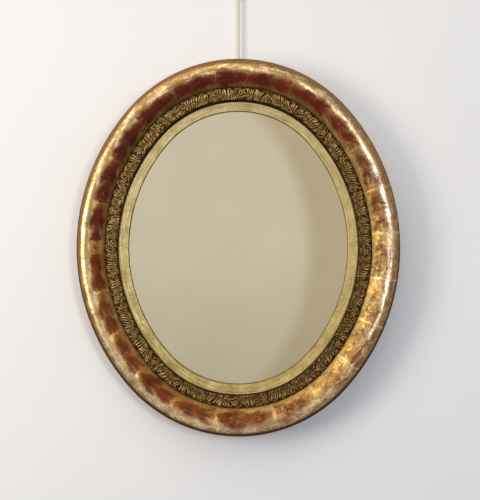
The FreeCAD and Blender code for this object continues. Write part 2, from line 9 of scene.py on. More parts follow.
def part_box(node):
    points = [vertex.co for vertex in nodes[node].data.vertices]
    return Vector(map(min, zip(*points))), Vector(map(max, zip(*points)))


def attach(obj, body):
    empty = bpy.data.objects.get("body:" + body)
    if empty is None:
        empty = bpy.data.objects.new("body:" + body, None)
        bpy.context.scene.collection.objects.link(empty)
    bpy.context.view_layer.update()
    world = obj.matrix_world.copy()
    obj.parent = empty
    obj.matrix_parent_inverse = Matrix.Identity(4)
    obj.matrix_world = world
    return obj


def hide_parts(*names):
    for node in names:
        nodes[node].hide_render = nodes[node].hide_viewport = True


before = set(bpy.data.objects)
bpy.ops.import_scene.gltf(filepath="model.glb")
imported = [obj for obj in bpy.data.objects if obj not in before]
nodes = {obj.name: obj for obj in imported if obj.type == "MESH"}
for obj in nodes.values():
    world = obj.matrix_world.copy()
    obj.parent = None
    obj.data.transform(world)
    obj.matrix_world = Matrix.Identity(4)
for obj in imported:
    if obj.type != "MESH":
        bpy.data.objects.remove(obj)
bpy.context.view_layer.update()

mm = 0.001
scene = bpy.context.scene
scene.view_settings.view_transform = "Standard"

# The oval is four arcs; every ring of the frame keeps their centres. Sizes in mm.
oval = {"halfWidth": 257.0, "halfHeight": 300.0, "jointAngle": 42.0, "centreZ": -436.5}
joint = math.radians(oval["jointAngle"])
sideShift = (oval["halfHeight"] - oval["halfWidth"]) / (1 + math.tan(joint) - 1 / math.cos(joint))
endShift = sideShift * math.tan(joint)
sideRadius = oval["halfWidth"] + sideShift
endRadius = oval["halfHeight"] - endShift
arcs = {  # centre x and z, outer radius, angle of the middle, half of the sweep
    "right": (-sideShift, 0, sideRadius, 0, joint),
    "top": (0, endShift, endRadius, math.pi / 2, math.pi / 2 - joint),
    "left": (sideShift, 0, sideRadius, math.pi, joint),
    "bottom": (0, -endShift, endRadius, -math.pi / 2, math.pi / 2 - joint),
}
sides = list(arcs)

# Camera: square on to the wall, a little right of and below the middle of the oval
shot = {"lens": 77.0, "distance": 1.7, "rimDepth": 34.5 * mm, "right": 2.6 * mm, "down": 3.7 * mm}
camData = bpy.data.cameras.new("camera")
camData.lens = shot["lens"]
cam = bpy.data.objects.new("camera", camData)
cam.location = (
    shot["right"],
    -shot["rimDepth"] - shot["distance"],
    oval["centreZ"] * mm - shot["down"],
)
cam.rotation_euler = (math.radians(90), 0, 0)
scene.collection.objects.link(cam)
scene.camera = cam
print("camera set")


# Materials: hex colours, and nodes with their settings and links
def linear(hexColour):
    parts = [int(hexColour[i:i + 2], 16) / 255 for i in (1, 3, 5)]
    return tuple(c / 12.92 if c <= 0.04045 else ((c + 0.055) / 1.055) ** 2.4 for c in parts) + (1.0,)


def fill(made, sockets):
    # a socket takes a number, a hex colour, another socket, or a node, which gives its first live output
    for key, value in sockets.items():
        if isinstance(value, bpy.types.Node):
            value = next(out for out in value.outputs if out.enabled)
        if isinstance(value, bpy.types.NodeSocket):
            made.id_data.links.new(value, made.inputs[key])
        else:
            made.inputs[key].default_value = linear(value) if isinstance(value, str) else value


def addNode(tree, kind, sockets=None, stops=None, bends=None, **settings):
    # kind may hold an operation; stops are the colours of a ramp, bends the points of a curve
    kind, _, operation = kind.partition(" ")
    made = tree.nodes.new("ShaderNode" + kind)
    if operation:
        made.operation = operation
    for name, value in settings.items():
        setattr(made, name, value)
    fill(made, sockets or {})
    if stops:
        ends = made.color_ramp.elements
        ends[0].position, ends[1].position = stops[0][0], stops[-1][0]
        ends[0].color, ends[1].color = linear(stops[0][1]), linear(stops[-1][1])
        for position, colour in stops[1:-1]:
            ends.new(position).color = linear(colour)
    if bends:
        points = made.mapping.curves[0].points
        while len(points) < len(bends):
            points.new(0.5, 0.5)
        for point, place in zip(points, bends):
            point.location = place
        made.mapping.update()
    return made


def startMaterial(name):
    mat = bpy.data.materials.new(name)
    mat.use_nodes = True
    tree = mat.node_tree
    return mat, partial(addNode, tree), tree.nodes["Principled BSDF"]


def perMm(size):
    return 1 / (size * mm)  # noise scale for a pattern of this size


# Section of the moulding: insets from the rim and depths from the wall, in mm
moulding = {
    "bevel": 30.0, "back": 8.0, "rimBack": 30.0, "rimFront": 34.5, "crest": 18.0, "crestDepth": 52.5,
    "foot": 45.0, "footDepth": 38.5, "seat": 36.0, "lip": 66.0, "lipBack": 30.0, "rebate": 58.0,
    "ease": 0.7, "waverLong": (0.16, 38), "waverShort": (0.06, 9),  # height and length of the waves
    "steps": 120, "crestPoints": 22, "slopePoints": 28,
}

# Patterns in the gilding, in mm; a stroke or drift has its length and width
gilt = {
    "waver": 11, "wander": 10, "pit": 8, "stroke": (16, 2.4), "drift": (34, 7), "crest": 16.5,
    # size, detail and roughness of the noise
    "fleck": (4, 6, 0.7), "cloud": (34, 6, 0.65), "grit": (2.2, 4, 0.7), "rub": (15, 7, 0.75),
    "lowEnd": -680, "highEnd": -360,  # heights between which the finish changes
}

# Garland of red leaves on the cushion, between gold cross lines
garland = {
    "compartments": 11, "middle": 32.0, "lowMiddle": 31.5, "outerHalf": 11.5, "lowOuterHalf": 13.0,
    "innerHalf": 10.0, "slant": 0.45, "rightShift": 0.307, "core": 32.5, "coreHalf": 9.5, "line": 1.3,
    "tone": 71.0, "tie": 10.0, "diamond": 6.0,
    "sprays": ((0.03, 0.56), (0.43, 0.54)),  # start and length, in compartments
    "midHalf": [(0, 0.1), (0.25, 0.27), (0.55, 0.42), (0.85, 0.25), (1, 0)],
    "sideMid": [(0, 0.08), (0.3, 0.28), (0.6, 0.54), (0.9, 0.76), (1, 0.84)],
    "sideHalf": [(0, 0), (0.3, 0.24), (0.6, 0.34), (0.85, 0.2), (1, 0)],
}
garlandLength = (
    2 * (endRadius - garland["middle"]) * (math.pi / 2 - joint)
    + 2 * (sideRadius - garland["middle"]) * joint
)  # from the top of the oval down one side to the bottom


def gildedMoulding():
    # Water gilding on red bole over gesso, burnished, with a painted leaf garland and a toned varnish:
    # a soft metal gleam, pale on the outer half, deep red leaves, brown glaze on the slope, a dark rim of
    # dirt and painted shade.
    mat, add, bsdf = startMaterial("waterGilding")
    place = add("TexCoord").outputs["Object"]
    lay = add("Attribute", attribute_name="lay").outputs["Vector"]
    layRun, layInset, _ = add("SeparateXYZ", {0: lay}).outputs
    waver = add("TexNoise", {"Vector": place, "Scale": perMm(gilt["waver"]), "Detail": 4})
    shift = add("SeparateXYZ", {0: waver.outputs["Color"]})
    wander = gilt["wander"] * mm
    run = add("Math MULTIPLY_ADD", {0: shift.outputs[0], 1: wander, 2: layRun})
    inset = add("Math MULTIPLY_ADD", {0: shift.outputs[1], 1: wander, 2: layInset})
    runC = add("Math SUBTRACT", {0: run, 1: wander / 2})
    insetC = add("Math SUBTRACT", {0: inset, 1: wander / 2})
    fleck, cloud, grit, rub = [
        add("TexNoise", {"Vector": place, "Scale": perMm(size), "Detail": detail, "Roughness": roughness})
        for size, detail, roughness in (gilt[name] for name in ("fleck", "cloud", "grit", "rub"))]
    placeX, _, placeZ = add("SeparateXYZ", {0: place}).outputs
    hand = add("Math SIGN", {0: placeX})  # the two sides differ in their strokes
    sweep = add("CombineXYZ", {0: runC, 1: insetC, 2: hand})
    upper = add("MapRange", {0: placeZ, 1: gilt["lowEnd"] * mm, 2: gilt["highEnd"] * mm})
    midLine = add("MapRange", {0: upper, 3: garland["lowMiddle"] * mm, 4: garland["middle"] * mm})
    offMiddle = add("Math SUBTRACT", {0: insetC, 1: midLine})
    fromMiddle = add("Math ABSOLUTE", {0: offMiddle})
    barb = add("Math MULTIPLY_ADD", {0: runC, 1: -garland["slant"], 2: fromMiddle})
    feather = add("CombineXYZ", {0: runC, 1: barb, 2: hand})  # strokes fan out from the midrib
    short = add("Mapping", {"Vector": feather, "Scale": (*map(perMm, gilt["stroke"]), 9.0)})
    brush = add("TexNoise", {"Vector": short, "Scale": 1.0, "Detail": 4, "Roughness": 0.6})
    long = add("Mapping", {"Vector": sweep, "Scale": (*map(perMm, gilt["drift"]), 5.0)})
    drift = add("TexNoise", {"Vector": long, "Scale": 1.0, "Detail": 5, "Roughness": 0.68})

    # the upper left kept its glazes, the lower right is rubbed down to the metal
    sideways = add("Math MULTIPLY_ADD", {0: placeX, 1: -3.2, 2: 1.33})
    aged = add("Math MULTIPLY_ADD", {0: placeZ, 1: 0.8, 2: sideways})
    aged = add("Math MULTIPLY_ADD", {0: cloud, 1: 0.5, 2: aged})
    aged = add("MapRange", {0: aged, 1: 0.3, 2: 1.2}, interpolation_type="SMOOTHSTEP")

    # two sprays of three leaves to a compartment, the second standing in the fork of the first
    cell = add("Math MULTIPLY_ADD", {0: runC, 1: garland["compartments"] / (garlandLength * mm), 2: 0.5})
    onRight = add("Math MAXIMUM", {0: hand, 1: 0.0})
    cell = add("Math MULTIPLY_ADD", {0: onRight, 1: garland["rightShift"], 2: cell})
    along = add("Math FRACT", {0: cell})
    inward = add("Math MULTIPLY", {0: offMiddle, 1: perMm(garland["innerHalf"])})
    outward = add(
        "MapRange", {0: upper, 3: -perMm(garland["lowOuterHalf"]), 4: -perMm(garland["outerHalf"])}
    )
    fromAxis = add("Math ABSOLUTE", {0: placeX})
    broad = add("MapRange", {0: fromAxis, 1: 0.05, 2: 0.14, 3: 0.72, 4: 1.0})
    broad = add("MapRange", {0: upper, 3: broad, 4: 1.0})  # the leaves at the very bottom are the broadest
    rightward = add("MapRange", {0: placeZ, 1: -0.44, 2: -0.36, 3: 1.0, 4: 0.62})
    rightward = add("MapRange", {0: placeX, 1: 0.1, 2: 0.2, 3: 1.0, 4: rightward})  # and upper right
    for factor in (offMiddle, broad, rightward):
        outward = add("Math MULTIPLY", {0: outward, 1: factor})
    across = add("Math MAXIMUM", {0: inward, 1: outward})
    number = add("Math FLOOR", {0: cell})
    number = add("Math MULTIPLY_ADD", {0: hand, 1: 20.0, 2: number})
    inLeaf, nearVein = None, None
    for start, length in garland["sprays"]:
        own = add("Math ADD", {0: number, 1: start})
        own = add("TexWhiteNoise", {"W": own}, noise_dimensions="1D").outputs["Color"]
        own = add("SeparateXYZ", {0: own})
        reach = add("MapRange", {0: own.outputs[0], 3: 0.45, 4: 1.15})
        plump = add("MapRange", {0: own.outputs[1], 3: 0.75, 4: 1.5})
        x = add("MapRange", {0: along, 1: start, 2: start + length}, clamp=False)
        midHalf, sideMid, sideHalf = [
            add("Math MULTIPLY", {0: add("FloatCurve", {1: x}, bends=garland[name]), 1: factor})
            for name, factor in (("midHalf", plump), ("sideMid", reach), ("sideHalf", plump))]
        midIn = add("Math SUBTRACT", {0: midHalf, 1: across})
        offSide = add("Math SUBTRACT", {0: across, 1: sideMid})
        offSide = add("Math ABSOLUTE", {0: offSide})
        sideIn = add("Math SUBTRACT", {0: sideHalf, 1: offSide})
        both = add("Math MAXIMUM", {0: midIn, 1: sideIn})
        ribs = add("Math MINIMUM", {0: across, 1: offSide})
        inside = add("Math COMPARE", {0: x, 1: 0.5, 2: 0.5})
        both = add("Math ADD", {0: both, 1: 1.0})
        both = add("Math MULTIPLY_ADD", {0: both, 1: inside, 2: -1.0})
        inLeaf = both if inLeaf is None else add("Math MAXIMUM", {0: inLeaf, 1: both})
        nearVein = ribs if nearVein is None else add("Math MINIMUM", {0: nearVein, 1: ribs})
    ragged = inLeaf
    for texture, share in ((brush, 0.7), (fleck, 0.25), (aged, 0.14)):
        ragged = add("Math MULTIPLY_ADD", {0: texture, 1: share, 2: ragged})
    leaf = add("MapRange", {0: ragged, 1: 0.14, 2: 0.9}, interpolation_type="SMOOTHSTEP")
    wash = add("Math SUBTRACT", {0: insetC, 1: garland["core"] * mm})
    wash = add("Math ABSOLUTE", {0: wash})
    wash = add("Math MULTIPLY_ADD", {0: wash, 1: perMm(garland["coreHalf"]), 2: brush})
    wash = add("MapRange", {0: wash, 1: 0.85, 2: 1.6, 3: 0.9, 4: 0.0})
    for factor in (aged, upper):
        wash = add("Math MULTIPLY", {0: wash, 1: factor})
    leaf = add("Math MAXIMUM", {0: leaf, 1: wash})
    veinGold = add("MapRange", {0: upper, 3: 0.3, 4: 0.15})
    vein = add("MapRange", {0: nearVein, 1: 0.02, 2: 0.07, 3: veinGold, 4: 0.0})
    vein = add("Math MULTIPLY", {0: vein, 1: fleck})

    # wear takes the paint back to gold in patches
    sound = add("MapRange", {0: upper, 3: 0.28, 4: 0.22})
    held = add("Math MULTIPLY_ADD", {0: aged, 1: sound, 2: rub})
    held = add("Math MULTIPLY_ADD", {0: fleck, 1: 0.25, 2: held})
    rubbed = add("MapRange", {0: upper, 3: 0.61, 4: 0.53})
    held = add("Math SUBTRACT", {0: held, 1: rubbed})
    kept = add("MapRange", {0: held, 1: 0.0, 2: 0.2, 3: 0.06, 4: 1.0})
    stroke = add("MapRange", {0: brush, 1: 0.32, 2: 0.68})
    thinnest = add("MapRange", {0: upper, 3: 0.85, 4: 0.92})
    cover = add("MapRange", {0: stroke, 3: thinnest, 4: 1.0})
    kept = add("Math MULTIPLY", {0: kept, 1: cover})
    painted = add("Math MULTIPLY", {0: leaf, 1: kept})
    toLine = add("Math PINGPONG", {0: cell, 1: 0.5})
    lineHalf = garland["line"] * garland["compartments"] / garlandLength
    crossLine = add("MapRange", {0: toLine, 1: lineHalf * 0.6, 2: lineHalf * 1.6, 3: 1.0, 4: 0.0})
    clean = add("MapRange", {0: placeZ, 1: -0.42, 2: -0.22, 3: 0.8, 4: 0.3})
    crossLine = add("Math MULTIPLY", {0: crossLine, 1: clean})
    fromTie = add("Math SUBTRACT", {0: runC, 1: garlandLength / 2 * mm})
    fromTie = add("Math ABSOLUTE", {0: fromTie})
    fromTie = add("Math MAXIMUM", {0: fromTie, 1: hand})  # one tie, on the left
    tie = add(
        "MapRange", {0: fromTie, 1: garland["tie"] * mm, 2: (garland["tie"] + 1.5) * mm, 3: 0.85, 4: 0.0}
    )
    crossLine = add("Math MAXIMUM", {0: crossLine, 1: tie})
    diamond = add("Math MULTIPLY_ADD", {0: fromTie, 1: perMm(garland["diamond"]), 2: across})
    diamond = add("MapRange", {0: diamond, 1: 0.5, 2: 0.8, 3: 0.0, 4: 1.0})
    crossLine = add("Math MULTIPLY", {0: crossLine, 1: diamond})
    bare = add("Math MAXIMUM", {0: crossLine, 1: vein})
    bare = add("Math SUBTRACT", {0: 1.0, 1: bare})
    red = add("Math MULTIPLY", {0: painted, 1: bare})

    # gold by its place on the section, clouded, each leaf of metal with its own tone
    fromRim = add("Math MULTIPLY", {0: insetC, 1: perMm(moulding["foot"])})
    gold = add("ValToRGB", {0: fromRim}, stops=[
        (0.0, "#8A5C2A"), (0.11, "#A07A44"), (0.2, "#D2B984"), (0.3, "#E2D2A6"),
        (0.42, "#E6D6AA"), (0.54, "#E2CA8E"), (0.7, "#F4DC86"), (1.0, "#F4DA7E")])
    leafStep = add("Math MULTIPLY", {0: runC, 1: perMm(garland["tone"])})
    leafNo = add("Math FLOOR", {0: leafStep})
    tone = add("TexWhiteNoise", {"W": leafNo}, noise_dimensions="1D").outputs["Value"]
    shade = add("Math MULTIPLY_ADD", {0: tone, 1: 0.12, 2: cloud})
    shade = add("Math MULTIPLY_ADD", {0: brush, 1: 0.4, 2: shade})
    deep = add("MapRange", {0: shade, 1: 0.6, 2: 0.88, 3: 0.85, 4: 0.0})

    # flakes of brighter leaf where it is rubbed
    handled = add("Math SUBTRACT", {0: 1.0, 1: aged})
    flake = add("MapRange", {0: rub, 1: 0.5, 2: 0.58, 3: 0.0, 4: 0.85})
    flake = add("Math MULTIPLY", {0: flake, 1: handled})
    edge = add("Math SUBTRACT", {0: rub, 1: 0.485})
    edge = add("Math ABSOLUTE", {0: edge})
    edge = add("MapRange", {0: edge, 1: 0.004, 2: 0.024, 3: 0.75, 4: 0.0})  # bole along their edges
    edge = add("Math MULTIPLY", {0: edge, 1: handled})

    # painted shade: the top of the frame is darkened against the reflection of the light from above
    topShade = add("MapRange", {0: placeZ, 1: -0.36, 2: -0.2, 3: 0.0, 4: 0.6})

    # rubbed pale along the crest where hands and dusters went, and a painted highlight: the crest is paled
    # where the lamp's streak falls, on the rubbed right side, fading out low down
    offCrest = add("Math SUBTRACT", {0: insetC, 1: gilt["crest"] * mm})
    offCrest = add("Math ABSOLUTE", {0: offCrest})
    pale = add("MapRange", {0: offCrest, 1: 2 * mm, 2: 8 * mm, 3: 0.9, 4: 0.0})
    for factor in (handled, upper):
        pale = add("Math MULTIPLY", {0: pale, 1: factor})

    # and in long patches on the outer half of the glazed side, more of them low down
    lowDown = add("Math SUBTRACT", {0: 1.0, 1: upper})
    cream = add("MapRange", {0: insetC, 1: 6.5 * mm, 2: 10.5 * mm, 3: 0.0, 4: 0.9})
    innerEnd = add("Math MULTIPLY_ADD", {0: broad, 1: -22 * mm, 2: insetC})
    innerEnd = add("MapRange", {0: innerEnd, 1: -2.5 * mm, 2: 2 * mm, 3: 0.9, 4: 0.0})
    cream = add("Math MINIMUM", {0: cream, 1: innerEnd})
    faint = add("MapRange", {0: drift, 1: 0.5, 2: 0.4})
    feathery = add("MapRange", {0: brush, 1: 0.44, 2: 0.64, 3: 1.0, 4: 0.1})
    feathery = add("Math MULTIPLY", {0: feathery, 1: lowDown})
    faint = add("Math MAXIMUM", {0: faint, 1: feathery})
    for factor in (aged, faint):
        cream = add("Math MULTIPLY", {0: cream, 1: factor})

    # bole shows through in flecks, most of all near the rim
    nearRim = add("MapRange", {0: insetC, 1: 3 * mm, 2: 16 * mm, 3: 1.0, 4: 0.0})
    lower = add("MapRange", {0: upper, 3: 0.3, 4: 0.2})
    thin = add("Math MULTIPLY_ADD", {0: nearRim, 1: lower, 2: fleck})
    thin = add("MapRange", {0: thin, 1: 0.55, 2: 0.72, 3: 0.0, 4: 0.6})

    # smudges of old varnish and grit in it, drawn coarser than it is so that it shows
    smudge = add("Math MULTIPLY_ADD", {0: grit, 1: 0.55, 2: rub})
    smudge = add("MapRange", {0: smudge, 1: 0.7, 2: 0.9, 3: 0.0, 4: 0.7})
    specks = add("MapRange", {0: fleck, 1: 0.54, 2: 0.68, 3: 0.0, 4: 0.5})
    smudge = add("Math MAXIMUM", {0: smudge, 1: specks})

    streaky = add("MapRange", {0: drift, 1: 0.48, 2: 0.62, 3: 0.0, 4: 0.6})
    for factor in (aged, upper):
        streaky = add("Math MULTIPLY", {0: streaky, 1: factor})

    # brown glaze on the inner slope
    slope = add("MapRange", {0: insetC, 1: 18 * mm, 2: 33 * mm, 3: 0.0, 4: 0.85})
    glaze = add("Math MULTIPLY", {0: slope, 1: aged})
    patchy = add("MapRange", {0: drift, 1: 0.38, 2: 0.6, 3: 0.62, 4: 1.0})
    glaze = add("Math MULTIPLY", {0: glaze, 1: patchy})
    warm = add("MapRange", {0: placeZ, 1: -0.5, 2: -0.28, 3: 1.0, 4: 0.0})
    # paint dragged thin round the leaves
    halo = add("MapRange", {0: ragged, 1: -0.2, 2: 0.35, 3: 0.0, 4: 0.6})
    smoky = add("MapRange", {0: insetC, 1: 16 * mm, 2: 25 * mm})
    for factor in (aged, smoky):
        halo = add("Math MULTIPLY", {0: halo, 1: factor})
    glaze = add("Math MAXIMUM", {0: glaze, 1: halo})
    glazeTone = add("Mix", {0: warm, 6: "#7A5022", 7: "#9A6226"}, data_type="RGBA")
    # smoke and varnish darken the inner half in long drifts
    smoke = add("MapRange", {0: drift, 1: 0.48, 2: 0.68, 3: 0.0, 4: 0.6})
    cool = add("Math SUBTRACT", {0: 1.0, 1: warm})
    for factor in (aged, smoky, cool):
        smoke = add("Math MULTIPLY", {0: smoke, 1: factor})
    heart = add("MapRange", {0: ragged, 1: 0.4, 2: 1.3, 3: 0.55, 4: 0.0})
    redness = add("Math MULTIPLY_ADD", {0: stroke, 1: 0.4, 2: heart})
    uneven = add("MapRange", {0: drift, 1: 0.36, 2: 0.64, 3: -0.4, 4: 0.5})
    redness = add("Math ADD", {0: redness, 1: uneven}, use_clamp=True)
    bright = add("Mix", {0: cool, 6: "#802A08", 7: "#70190C"}, data_type="RGBA")
    redTone = add("Mix", {0: redness, 6: "#260504", 7: bright}, data_type="RGBA")

    # on the rubbed side the cross lines are bright metal
    scraped = add("Math MULTIPLY", {0: crossLine, 1: handled})
    scraped = add("MapRange", {0: scraped, 1: 0.1, 2: 0.8, 3: 0.0, 4: 0.6})

    # on the rubbed side the crest is worn through to the bole in places, most at the lower right
    worn = add("MapRange", {0: offCrest, 1: 5.5 * mm, 2: 10 * mm, 3: 1.0, 4: 0.0})
    patches = add("MapRange", {0: drift, 1: 0.46, 2: 0.55, 3: 0.0, 4: 0.95})
    worn = add("Math MULTIPLY", {0: worn, 1: patches})
    corner = add("MapRange", {0: placeZ, 1: -0.32, 2: -0.6, 3: 0.3, 4: 1.0})
    for factor in (handled, corner):
        worn = add("Math MULTIPLY", {0: worn, 1: factor})

    # dirt and painted shade along the rim, widest at the bottom; dirt and painted shade in the crease at
    # the foot of the cushion; dirt in pits
    rimEnd = add("MapRange", {0: upper, 3: 4.6 * mm, 4: 1.0 * mm})
    rimDirtAndShade = add("Math SUBTRACT", {0: layInset, 1: rimEnd})
    rimDirtAndShade = add("MapRange", {0: rimDirtAndShade, 1: 0.0, 2: 2.6 * mm, 3: 1.0, 4: 0.0})
    footDirtAndShade = add("MapRange", {0: aged, 3: 44.5 * mm, 4: 40.5 * mm})
    footDirtAndShade = add("Math SUBTRACT", {0: insetC, 1: footDirtAndShade})
    footDirtAndShade = add("MapRange", {0: footDirtAndShade, 1: 0.0, 2: 6 * mm, 3: 0.0, 4: 0.45})
    dirtAndShade = add("Math MAXIMUM", {0: rimDirtAndShade, 1: footDirtAndShade})
    pits = add("TexVoronoi", {"Vector": place, "Scale": perMm(gilt["pit"])}).outputs["Distance"]
    pits = add("MapRange", {0: pits, 1: 0.07, 2: 0.14, 3: 0.7, 4: 0.0})
    dirtAndShade = add("Math MAXIMUM", {0: dirtAndShade, 1: pits})

    # the layers in the order they lie, each with its colour
    colour = gold
    for layer, tint in (
            (deep, "#94703C"), (flake, "#FFF2B8"), (edge, "#8A5420"), (topShade, "#8E7450"), (pale, "#FCF4E0"),
            (cream, "#FFF0C2"), (thin, "#9A5526"), (smudge, "#86643A"), (streaky, "#8A6C3E"),
            (glaze, glazeTone), (smoke, "#42260F"), (red, redTone), (scraped, "#EEDDA8"),
            (worn, "#7C3416"), (dirtAndShade, "#38210A")):
        colour = add("Mix", {0: layer, 6: colour, 7: tint}, data_type="RGBA")

    dull = red
    for layer in (glaze, worn, smoke, dirtAndShade):
        dull = add("Math MAXIMUM", {0: dull, 1: layer})
    metal = add("MapRange", {0: dull, 3: 1.0, 4: 0.0})
    burnished = add("MapRange", {0: fleck, 1: 0.3, 2: 0.7, 3: 0.22, 4: 0.42})
    matt = add("MapRange", {0: insetC, 1: 22 * mm, 2: 40 * mm, 3: 0.0, 4: 0.25})
    rough = add("Math MULTIPLY_ADD", {0: dull, 1: 0.3, 2: burnished})
    rough = add("Math ADD", {0: rough, 1: matt})
    relief = add("Math MULTIPLY_ADD", {0: red, 1: 0.6, 2: fleck})
    relief = add("Math MULTIPLY_ADD", {0: grit, 1: 0.5, 2: relief})
    bump = add("Bump", {"Strength": 0.5, "Distance": 0.35 * mm, "Height": relief})
    fill(bsdf, {"Base Color": colour, "Metallic": metal, "Roughness": rough, "Normal": bump,
                "Specular IOR Level": 0.12})
    return mat


def gildedOrnament():
    # Pressed composition, bronzed and toned: dull gold on the high points, brown in the hollows.
    mat, add, bsdf = startMaterial("bronzedComposition")
    place = add("TexCoord").outputs["Object"]
    relief = add("Attribute", attribute_name="relief").outputs["Fac"]
    grime = add("TexNoise", {"Vector": place, "Scale": perMm(6), "Detail": 6, "Roughness": 0.7})
    height = add("Math MULTIPLY_ADD", {0: grime, 1: 0.5, 2: relief})
    spot = add("SeparateXYZ", {0: place})
    # painted shade: the ornament is made darker towards the lower right, away from the light
    downRight = add("Math MULTIPLY_ADD", {0: spot.outputs[2], 1: -0.8, 2: spot.outputs[0]})
    lowerRightShade = add("MapRange", {0: downRight, 1: 0.05, 2: 0.65, 3: 0.02, 4: -0.06})  # darker at the lower right
    height = add("Math MULTIPLY_ADD", {0: height, 1: 0.7, 2: lowerRightShade})
    colour = add("ValToRGB", {0: height}, stops=[
        (0.14, "#271A0A"), (0.38, "#402C12"), (0.62, "#7A5E34"), (0.9, "#C8AE7C")])
    metal = add("MapRange", {0: height, 1: 0.3, 2: 0.7, 3: 0.2, 4: 0.9})
    rough = add("MapRange", {0: height, 1: 0.3, 2: 0.9, 3: 0.6, 4: 0.28})
    bump = add("Bump", {"Strength": 0.5, "Distance": 0.4 * mm, "Height": grime})
    fill(bsdf, {"Base Color": colour, "Metallic": metal, "Roughness": rough, "Normal": bump,
                "Specular IOR Level": 0.1})
    return mat


def gildedLiner():
    # Pale gold leaf on a turned slip, burnished along its length: olive cream with fine streaks,
    # a painted shadow where it runs under the lip, widest at the top, and dirt and painted shade at the
    # edge of the glass.
    mat, add, bsdf = startMaterial("paleGoldLeaf")
    place = add("TexCoord").outputs["Object"]
    lay = add("Attribute", attribute_name="lay").outputs["Vector"]
    along = add("Mapping", {"Vector": lay, "Scale": (perMm(60), perMm(1.8), 0)})
    streak = add("TexNoise", {"Vector": along, "Scale": 1.0, "Detail": 4, "Roughness": 0.65})
    cloud = add("TexNoise", {"Vector": place, "Scale": perMm(30), "Detail": 7, "Roughness": 0.6})
    marks = add("TexNoise", {"Vector": place, "Scale": perMm(5), "Detail": 5, "Roughness": 0.7})
    mixed = add("Math MULTIPLY_ADD", {0: cloud, 1: 0.6, 2: streak})
    mixed = add("Math MULTIPLY_ADD", {0: marks, 1: 0.5, 2: mixed})
    height = add("SeparateXYZ", {0: place}).outputs[2]
    topLightLowShade = add("MapRange", {0: height, 1: -0.66, 2: -0.24, 3: -0.035, 4: 0.06})  # painted light and shade: lighter at the top and darker low, evening out the light from above
    mixed = add("Math MULTIPLY_ADD", {0: mixed, 1: 0.475, 2: topLightLowShade})
    colour = add("ValToRGB", {0: mixed}, stops=[
        (0.34, "#6C5A31"), (0.44, "#958455"), (0.55, "#B6A675"), (0.68, "#D2C59A")])
    inset = add("SeparateXYZ", {0: lay}).outputs[1]
    # dirt and painted shade in the gap at the edge of the glass
    sightDirtAndShade = add("MapRange", {0: inset, 1: 81.0 * mm, 2: 81.9 * mm, 3: 0.0, 4: 0.85})
    colour = add("Mix", {0: sightDirtAndShade, 6: colour, 7: "#4A3418"}, data_type="RGBA")
    # painted shadow of the lip on the slip, wider at the top
    lipShadowWidth = add("MapRange", {0: height, 1: -0.42, 2: -0.24, 3: 0.4, 4: 2.6})
    lipEnd = add("Math MULTIPLY_ADD", {0: lipShadowWidth, 1: mm, 2: 66 * mm})
    lipStart = add("Math MULTIPLY_ADD", {0: lipShadowWidth, 1: 0.6 * mm, 2: 66 * mm})
    lipShadow = add("MapRange", {0: inset, 1: lipStart, 2: lipEnd, 3: 1.0, 4: 0.0})
    colour = add("Mix", {0: lipShadow, 6: colour, 7: "#1E140A"}, data_type="RGBA")
    # the painted shadow under the lip and the dirt and painted shade at the glass edge take the metal away
    grime = add("Math MAXIMUM", {0: sightDirtAndShade, 1: lipShadow})
    metal = add("MapRange", {0: grime, 3: 0.9, 4: 0.0})
    rough = add("MapRange", {0: mixed, 1: 0.35, 2: 0.7, 3: 0.6, 4: 0.42})
    bump = add("Bump", {"Strength": 0.25, "Distance": 0.12 * mm, "Height": streak})
    fill(bsdf, {"Base Color": colour, "Metallic": metal, "Roughness": rough, "Normal": bump,
                "Specular IOR Level": 0.1})
    return mat


def silveredGlass():
    # Old silvered plate: a clear reflection with a faint warm cast and a little haze.
    mat, add, bsdf = startMaterial("silveredPlate")
    place = add("TexCoord").outputs["Object"]
    haze = add("TexNoise", {"Vector": place, "Scale": perMm(90), "Detail": 3})
    colour = add("ValToRGB", {0: haze}, stops=[(0.0, "#E3E1D8"), (1.0, "#F1EFE8")])
    rough = add("MapRange", {0: haze, 1: 0.3, 2: 0.7, 3: 0.015, 4: 0.04})
    fill(bsdf, {"Base Color": colour, "Roughness": rough, "Metallic": 1.0})
    return mat


# Every board has its own grain; sizes in mm
boards = {
    "halfMiddle": 75.3, "width": 150.6,
    "unlike": 17.3,  # shift of the noise from one board to the next
    "grain": (5, 5, 120), "bentGrain": (70, 2.2, 2.2),
}


def bareWood(name, dark, light, grainAttribute):
    # Softwood, sawn and planed, browned with age: streaks of late wood along the grain.
    mat, add, bsdf = startMaterial(name)
    if grainAttribute:
        source = add("Attribute", attribute_name="lay").outputs["Vector"]
        grainSize = boards["bentGrain"]
    else:
        source = add("TexCoord").outputs["Object"]
        grainSize = boards["grain"]
    board = add("SeparateXYZ", {0: source})
    number = add("Math ADD", {0: board.outputs[0], 1: boards["halfMiddle"] * mm})
    number = add("Math MULTIPLY", {0: number, 1: perMm(boards["width"])})
    number = add("Math FLOOR", {0: number})
    own = add("Math MULTIPLY", {0: number, 1: boards["unlike"]})
    grain = add("Mapping", {"Vector": source, "Scale": tuple(map(perMm, grainSize))})
    rings = add("TexNoise", {"Vector": grain, "W": own, "Scale": 1.0, "Detail": 5, "Distortion": 0.6},
                noise_dimensions="4D")
    colour = add("ValToRGB", {0: rings}, stops=[(0.32, dark), (0.68, light)])
    bump = add("Bump", {"Strength": 0.3, "Distance": 0.3 * mm, "Height": rings})
    fill(bsdf, {"Base Color": colour, "Normal": bump, "Roughness": 0.72})
    return mat


